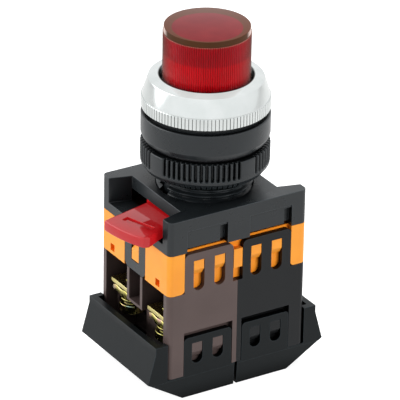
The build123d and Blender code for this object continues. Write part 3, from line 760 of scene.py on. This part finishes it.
def finish_cad(name, slot, rounding, segments):
    """Keeps a CAD node: joins its flat faces, rounds its edges by rounding mm, sets its material."""
    part = frame["nodes"][name]
    part.data.materials.clear()
    part.data.materials.append(materials[slot])
    weld = part.modifiers.new("weld", "WELD")
    weld.merge_threshold = 0.001 * MM
    flats = part.modifiers.new("flats", "DECIMATE")
    flats.decimate_type = "DISSOLVE"
    flats.angle_limit = radians(0.5)
    bevel = part.modifiers.new("bevel", "BEVEL")
    bevel.width = rounding * MM
    bevel.segments = segments
    bevel.limit_method = "ANGLE"
    bevel.angle_limit = radians(28)
    bevel.use_clamp_overlap = True
    flat_shading = part.modifiers.new("flat_shading", "WEIGHTED_NORMAL")
    flat_shading.weight = 100
    part.data.polygons.foreach_set("use_smooth", [True] * len(part.data.polygons))


# ---------------------------------------------------------------- head


def build_lens():
    """A ribbed cap, open below, with a smooth rim and a flat top."""
    low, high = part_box("lens_cap")
    r, bottom, top = high.x, low.z, high.z
    rim = top - 1.3 * MM
    rim_radius = 9.8 * MM
    rib_depth = 0.12 * MM
    inner = r - 1.0 * MM
    crown = 7.7 * MM
    roof = top - 1.5 * MM
    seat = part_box("lens_diffuser")[1].z + 0.05 * MM
    outline = rounded(
        [
            (0, top),
            (rim_radius, top, 0.12 * MM),
            (rim_radius + 0.04 * MM, rim, 0.03 * MM),
            (r - 0.04 * MM, rim - 0.04 * MM, 0.03 * MM),
            (r - 0.04 * MM, bottom + 0.3 * MM),
            (r - 0.3 * MM, bottom, 0.1 * MM),
            (inner, bottom, 0.1 * MM),
            (inner, seat, 0.1 * MM),
            (crown, seat, 0.1 * MM),
            (crown, roof, 0.4 * MM),
            (0, roof),
        ],
        3,
    )
    ribs = 120

    def ribbed(angle, radius, z):
        if z > rim or radius < r - 0.2 * MM:
            return radius
        return radius - rib_depth * (1 - bump_tooth(angle, ribs, 0.85))

    verts, faces = lathe(outline, round_angles(ribs, RIB_SHARES), ribbed)
    piece("lens", verts, faces, "red_lens", "button", ["lens_cap"], 50)


def build_diffuser():
    """A plain white cup, open below."""
    low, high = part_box("lens_diffuser")
    r, wall = high.x, 0.6 * MM
    ceiling = high.z - 0.7 * MM
    outline = rounded(
        [
            (0, high.z),
            (r, high.z, 0.25 * MM),
            (r, low.z),
            (r - wall, low.z),
            (r - wall, ceiling, 0.2 * MM),
            (0, ceiling),
        ]
    )
    verts, faces = lathe(outline, round_angles(96))
    piece("diffuser", verts, faces, "white_plastic", "button", ["lens_diffuser"])


def build_bezel():
    """A cone with a rounded hole for the lens, over a knurled band."""
    low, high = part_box("bezel_ring")
    r, bottom, top = high.x, low.z, high.z
    knurl_top = bottom + 2.88 * MM
    knurl_depth = 0.25 * MM
    cone_foot = 14.5 * MM
    hole = 10.77 * MM
    bore = 13.65 * MM
    ledge = 12.05 * MM
    teeth = 108
    outline = rounded(
        [
            (hole, top - 0.1 * MM, 0.35 * MM),
            (hole + 0.35 * MM, top, 0.2 * MM),
            (13.18 * MM, top - 0.6 * MM, 0.25 * MM),
            (cone_foot, knurl_top + 0.25 * MM, 0.15 * MM),
            (cone_foot, knurl_top + 0.05 * MM, 0.05 * MM),
            (r - 0.05 * MM, knurl_top, 0.2 * MM),
            (r - 0.05 * MM, bottom + 0.25 * MM),
            (r - 0.3 * MM, bottom, 0.1 * MM),
            (bore, bottom),
            (bore, ledge),
            (11.6 * MM, ledge),
            (hole, ledge + 0.9 * MM, 0.2 * MM),
        ]
    )

    def knurled(angle, radius, z):
        if z > knurl_top or radius < r - 0.4 * MM:
            return radius
        return radius - knurl_depth * (1 - tooth(angle, teeth, 0.88, 0.12))

    verts, faces = lathe(outline, round_angles(teeth, KNURL_SHARES), knurled)
    piece("bezel", verts, faces, "chrome_plate", "base", ["bezel_ring"], 40)


def build_housing():
    """Collar, neck and barrel in one, with a helical thread, a keyway and a groove for lugs."""
    low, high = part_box("housing_barrel")
    collar, bottom, top = high.x, low.z, high.z
    crest = 11.0 * MM
    depth = 0.72 * MM
    pitch = 1.5 * MM
    thread_top = -1.0 * MM
    thread_bottom = -14.6 * MM
    groove_top = -15.35 * MM
    groove_bottom = -16.95 * MM
    groove_floor = 10.0 * MM
    neck = 13.6 * MM
    shoulder = 6.1 * MM
    mouth = 10.3 * MM
    bore = 9.5 * MM
    narrow_bore = 7.7 * MM
    narrow_top = -12.0 * MM
    ledge = 5.0 * MM
    rows_per_turn = 14
    rows = int((thread_top - thread_bottom) / (pitch / rows_per_turn))
    outline = rounded(
        [
            (mouth, top, 0.1 * MM),
            (neck, top, 0.2 * MM),
            (neck, shoulder),
            (collar, shoulder, 0.35 * MM),
            (collar, 1.18 * MM, 0.3 * MM),
            (collar - 0.5 * MM, 0, 0.15 * MM),
            (crest, 0),
        ]
    )
    for k in range(rows + 1):
        outline.append((crest, thread_top + (thread_bottom - thread_top) * k / rows))
    outline += [
        (crest, groove_top),
        (groove_floor, groove_top),
        (groove_floor, groove_bottom),
        (crest, groove_bottom),
        (crest, bottom),
        (narrow_bore, bottom),
        (narrow_bore, narrow_top),
        (bore, narrow_top),
        (bore, ledge),
        (mouth, ledge),
    ]

    key_half = 1.6 / 10.5
    key_floor = 9.95 * MM
    key_sides = [pi + side * key_half + step for side in (-1, 1) for step in (-0.001, 0.001)]

    def threaded(angle, radius, z):
        if abs(radius - crest) > 1e-6 or z > thread_top:
            return radius
        if abs(angle - pi) < key_half and z > groove_top - 0.05 * MM:
            return key_floor
        if z < thread_bottom:
            return radius
        turn = abs((z / pitch + angle / TAU) % 1.0 - 0.5) * 2
        fade = min(1.0, (thread_top - z) / pitch, (z - thread_bottom) / pitch)
        return radius - depth * fade * max(0.0, min(1.0, (turn - 0.15) / 0.65))

    verts, faces = lathe(outline, sorted(round_angles(216) + key_sides), threaded)
    piece("housing", verts, faces, "black_plastic", "base", ["housing_barrel"], 35)


def ring(name, node_name, slot, body, hole, edge=0.1):
    """A plain washer that fills its CAD node's box."""
    low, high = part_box(node_name)
    outline = rounded(
        [
            (hole, high.z, edge * MM),
            (high.x, high.z, edge * MM),
            (high.x, low.z, edge * MM),
            (hole, low.z, edge * MM),
        ]
    )
    verts, faces = lathe(outline, round_angles(96))
    piece(name, verts, faces, slot, body, [node_name])


def build_nut():
    """Ribs in four groups with smooth pads between, and a cone with a scalloped lower edge."""
    low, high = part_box("lock_nut")
    r, bottom, top = high.x, low.z, high.z
    rib_bottom = -5.45 * MM
    rib_depth = 0.85 * MM
    bore = 11.06 * MM
    foot = 13.6 * MM
    scallop_top = bottom + 0.9 * MM
    scallop_depth = 0.9 * MM
    row_height = 0.45 * MM
    outline = rounded(
        [
            (bore + 0.5 * MM, top),
            (r, top, 0.3 * MM),
            (r, rib_bottom + 0.35 * MM, 0.1 * MM),
            (r - 0.02 * MM, rib_bottom, 0.1 * MM),
            (r - 0.05 * MM, rib_bottom - 0.6 * MM, 0.3 * MM),
            (foot + 0.1 * MM, bottom + 0.1 * MM, 0.15 * MM),
            (foot - 0.5 * MM, bottom, 0.1 * MM),
            (bore + 0.5 * MM, bottom),
            (bore, bottom + 0.5 * MM),
            (bore, top - 0.5 * MM),
        ]
    )
    profile = []
    for (r0, z0), (r1, z1) in zip(outline, outline[1:]):
        profile.append((r0, z0))
        parts = max(1, ceil(abs(z1 - z0) / row_height))
        for k in range(1, parts):
            profile.append((r0 + (r1 - r0) * k / parts, z0 + (z1 - z0) * k / parts))
    profile.append(outline[-1])
    count = 72
    pad_first = radians(10)
    half_pad = radians(7.5)

    def ribbed(angle, radius, z):
        if radius < foot - 0.6 * MM:
            return radius
        from_pad = (angle - pad_first + pi / 4) % (pi / 2) - pi / 4
        on_pad = abs(from_pad) < half_pad
        if z > rib_bottom + 0.2 * MM and not on_pad:
            return radius - rib_depth * (1 - bump_tooth(angle, count, 0.7))
        if z < scallop_top and not on_pad:
            return radius - scallop_depth * (1 - tooth(angle, count, 0.72, 0.16))
        return radius

    verts, faces = lathe(profile, round_angles(count, RIB_SHARES), ribbed)
    piece("nut", verts, faces, "black_plastic", "nut", ["lock_nut"], 38)


# ---------------------------------------------------------------- lever


def winding(outline):
    """1 for a closed outline that runs anticlockwise, -1 for a clockwise one."""
    area = sum(a[0] * b[1] - b[0] * a[1] for a, b in zip(outline, outline[1:] + outline[:1]))
    return 1 if area > 0 else -1


def inset(outline, distance):
    """A closed outline moved inwards by a distance."""
    count = len(outline)
    side = winding(outline)
    out = []
    for i, (x, y) in enumerate(outline):
        before = Vector((x - outline[i - 1][0], y - outline[i - 1][1])).normalized()
        after = Vector((outline[(i + 1) % count][0] - x, outline[(i + 1) % count][1] - y)).normalized()
        inward = Vector((-(before.y + after.y), before.x + after.x)) * side
        inward.normalize()
        lean = max(0.5, inward.dot(Vector((-after.y, after.x)) * side))
        out.append((x + inward.x * distance / lean, y + inward.y * distance / lean))
    return out


def level(outline, z):
    return [(x, y, z) for x, y in outline]


def skinned(rows):
    """Vertices and faces of a skin over closed rows of points, open at both ends."""
    verts = [point for row in rows for point in row]
    count = len(rows[0])
    faces = []
    for row in range(len(rows) - 1):
        for k in range(count):
            j = (k + 1) % count
            at = row * count
            faces.append((at + k, at + j, at + count + j, at + count + k))
    return verts, faces


def stretch(first, last, count):
    """Indices of a closed loop from first to last, both included."""
    out = [first]
    while out[-1] != last:
        out.append((out[-1] + 1) % count)
    return out


def in_mm(points):
    return [tuple(c * MM for c in point) for point in points]


def nearest(points, target):
    """The index of the point that is nearest to the target, seen from above."""
    distances = [hypot(point[0] - target[0], point[1] - target[1]) for point in points]
    return distances.index(min(distances))


def build_lever_arm(bottom, top):
    """The thumb plate, with a rounded rim and a groove in its top."""
    arm = [
        (-21.9, -12.45, 0.5),
        (-17.1, -9.9, 0.3),
        (-11.0, -6.4),
        (-11.5, 3.2),
        (-12.75, 3.53, 0.3),
        (-26.3, 0.15, 0.35),
        (-26.15, -2.2),
        (-25.75, -4.6),
        (-25.4, -6.2),
        (-24.75, -8.4),
        (-24.0, -10.4),
        (-23.2, -12.0, 0.3),
    ]
    outline = rounded(in_mm(arm), 5)
    rim_count = len(outline)
    low_round = 0.3 * MM
    top_round = 0.45 * MM
    rows = []
    for k in range(5):
        a = k * pi / 8
        rows.append(level(inset(outline, low_round * (1 - sin(a))), bottom + low_round * (1 - cos(a))))
    for k in range(7):
        a = k * pi / 12
        rows.append(level(inset(outline, top_round * (1 - cos(a))), top - top_round * (1 - sin(a))))
    verts, faces = skinned(rows)
    faces.append(tuple(range(rim_count)))

    cut = [
        (-1.2, 0, 0.1),
        (0.8, 0, 0.1),
        (0.9, -8.1, 0.1),
        (-0.8, -8.1, 0.1),
        (-0.8, -3.3),
        (-1.2, -2.7),
    ]
    turn = radians(18)
    groove_start = Vector((-21.6 * MM, -1.2 * MM))
    groove = []
    for x, y in rounded(in_mm(cut), 2):
        across = x * cos(turn) - y * sin(turn)
        along = x * sin(turn) + y * cos(turn)
        groove.append((groove_start.x + across, groove_start.y + along))
    if winding(groove) != winding(outline):
        groove.reverse()
    rows = [
        level(groove, top),
        level(inset(groove, 0.05 * MM), top - 0.05 * MM),
        level(inset(groove, 0.06 * MM), top - 0.4 * MM),
    ]
    first = len(verts)
    more, more_faces = skinned(rows)
    verts += more
    faces += [tuple(first + i for i in face) for face in more_faces]
    cut_count = len(groove)
    faces.append(tuple(first + 2 * cut_count + k for k in range(cut_count)))

    # The flat top is two faces, split at the groove's ends.
    last_row = first - rim_count
    rim_top = verts[last_row:first]
    inner_end = max(range(cut_count), key=lambda i: groove[i][1])
    outer_end = min(range(cut_count), key=lambda i: groove[i][1])
    rim_a = nearest(rim_top, groove[inner_end])
    rim_b = nearest(rim_top, groove[outer_end])
    for start, end, cut_start, cut_end in (
        (rim_a, rim_b, inner_end, outer_end),
        (rim_b, rim_a, outer_end, inner_end),
    ):
        outside = [last_row + i for i in stretch(start, end, rim_count)]
        inside = [first + i for i in stretch(cut_start, cut_end, cut_count)]
        faces.append(tuple(outside + inside[::-1]))
    piece("lever_arm", verts, faces, "red_lever_plastic", "lever", ["lock_lever"], 40)


def build_lever_ring(bottom, top):
    """The ring that the arm turns, with three lugs for the barrel's groove."""
    outside = 13.1 * MM
    hole = 11.35 * MM
    lug_bottom = top - 1.3 * MM
    lug_end = 10.15 * MM
    lug_half = 1.3 / 11
    inside_arm = 0.02 * MM
    outline = rounded(
        [
            (outside, top - inside_arm, 0.2 * MM),
            (outside, bottom + inside_arm, 0.2 * MM),
            (hole, bottom + inside_arm, 0.1 * MM),
            (hole, lug_bottom),
            (hole, lug_bottom + 0.02 * MM),
            (hole, top - inside_arm),
        ]
    )

    def lugged(angle, radius, z):
        from_lug = angle % (TAU / 3) - pi / 3
        if radius <= hole and z > lug_bottom + 0.01 * MM and abs(from_lug) < lug_half:
            return lug_end
        return radius

    verts, faces = lathe(outline, round_angles(144), lugged)
    piece("lever_ring", verts, faces, "red_lever_plastic", "lever", ["lock_lever"], 40)


def build_lever():
    low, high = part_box("lock_lever")
    build_lever_arm(low.z, high.z)
    build_lever_ring(low.z, high.z)


# ---------------------------------------------------------------- springs, clamps and screws


def spring(name, body, joint, r, wire, turns):
    """A coil in the box of its CAD node, given a mesh of its own when it has a joint."""
    low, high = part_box(name)
    centre = ((low.x + high.x) / 2, (low.y + high.y) / 2)
    verts, faces = coil(r * MM, wire * MM, low.z, high.z, turns, centre)
    made = piece(name + "_coil", verts, faces, "spring_steel", body, [name], 60)
    if joint:
        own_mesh(made)


def build_clamp(name):
    """A wavy saddle plate with a rounded outer lip, and the boss its washer bears on."""
    low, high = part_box(name)
    outward = 1 if low.x > 0 else -1
    near, far = sorted((abs(low.x), abs(high.x)))
    middle = (low.y + high.y) / 2
    half = (high.y - low.y) / 2 - 0.2 * MM
    plate = 0.8 * MM
    lip_thickness = 0.6 * MM
    screw_x = 13.9 * MM
    boss_inside, boss_outside = 1.95 * MM, 2.2 * MM
    steps = 30
    rows = []
    for k in range(steps + 1):
        y = -half + 2 * half * k / steps
        swing = cos(TAU * y / (1.2 * half))
        top = high.z - (0.42 + 0.14 * swing) * MM
        lip = top - (1.65 + 0.2 * swing) * MM
        under = top - plate
        section = rounded(
            [
                (near, top, 0.1 * MM),
                (far, top, 0.3 * MM),
                (far, lip, 0.2 * MM),
                (far - lip_thickness, lip, 0.1 * MM),
                (far - lip_thickness, under, 0.1 * MM),
                (near, under, 0.1 * MM),
            ],
            3,
        )
        rows.append([(outward * x, middle + y, z) for x, z in section])
    verts, faces = skinned(rows)
    count = len(rows[0])
    faces.append(tuple(range(count)))
    faces.append(tuple(steps * count + k for k in reversed(range(count))))
    boss_top = high.z - 1.0 * MM
    boss = [
        (boss_inside, low.z),
        (boss_outside, low.z),
        (boss_outside, boss_top),
        (boss_inside, boss_top),
    ]
    more, more_faces = lathe(boss, round_angles(40), centre=(outward * screw_x, middle))
    first = len(verts)
    faces += [tuple(first + i for i in face) for face in more_faces]
    piece(name + "_saddle", verts + more, faces, "yellow_zinc_steel", name, [name], 45)


def build_springs():
    """The button's, pushers' and bridges' springs, and the lamp's, which isn't squeezed."""
    stroke = 4.0 * MM
    # Radius and wire are in mm, turns are the open ones, and travel is how far it is squeezed.
    for name, body, joint, r, wire, turns, travel in (
        ("return_spring", "base", "button_press", 8.5, 0.5, 5, stroke),
        ("pusher_spring_right", "base", "button_press", 1.65, 0.22, 7, stroke),
        ("pusher_spring_left", "base", "button_press", 1.65, 0.22, 4, stroke),
        ("bridge_spring_right", "bridge_right", "button_press", 1.65, 0.22, 4, 1.5 * MM),
        ("bridge_spring_left", "base", "button_press", 2.28, 0.2, 6, 2.5 * MM),
    ):
        spring(name, body, joint, r, wire, turns)
    spring("lamp_contact_spring", "base", None, 1.6, 0.25, 3)


# ---------------------------------------------------------------- assembly

materials = make_materials()

build_lens()
build_diffuser()
build_bezel()
build_housing()
ring("gasket", "panel_gasket", "rubber", "base", 11.15 * MM, 0.2)
ring("washer", "thrust_washer", "black_steel", "washer", 11.15 * MM)
build_nut()
build_lever()
for side in ("left", "right"):
    for place in ("a", "b"):
        build_clamp(f"clamp_{side}_{place}")
build_springs()

rebuilt = {
    "lens_cap",
    "lens_diffuser",
    "bezel_ring",
    "housing_barrel",
    "panel_gasket",
    "thrust_washer",
    "lock_nut",
    "lock_lever",
}
for entry in frame["record"]["subparts"]:
    name = entry["node"]
    if name in rebuilt or "spring" in name or name.startswith("clamp"):
        continue
    # The rear covers take the darker black, which is painted shade.
    slot = "shaded_cover_plastic" if name.startswith("rear_cover") else entry["material_slot"]
    if name.startswith("screw"):
        finish_cad(name, slot, 0.7, 3)
    elif name == "adaptor_bracket":
        finish_cad(name, slot, 0.3, 2)
    else:
        finish_cad(name, slot, 0.18, 2)

make_studio()
make_camera()
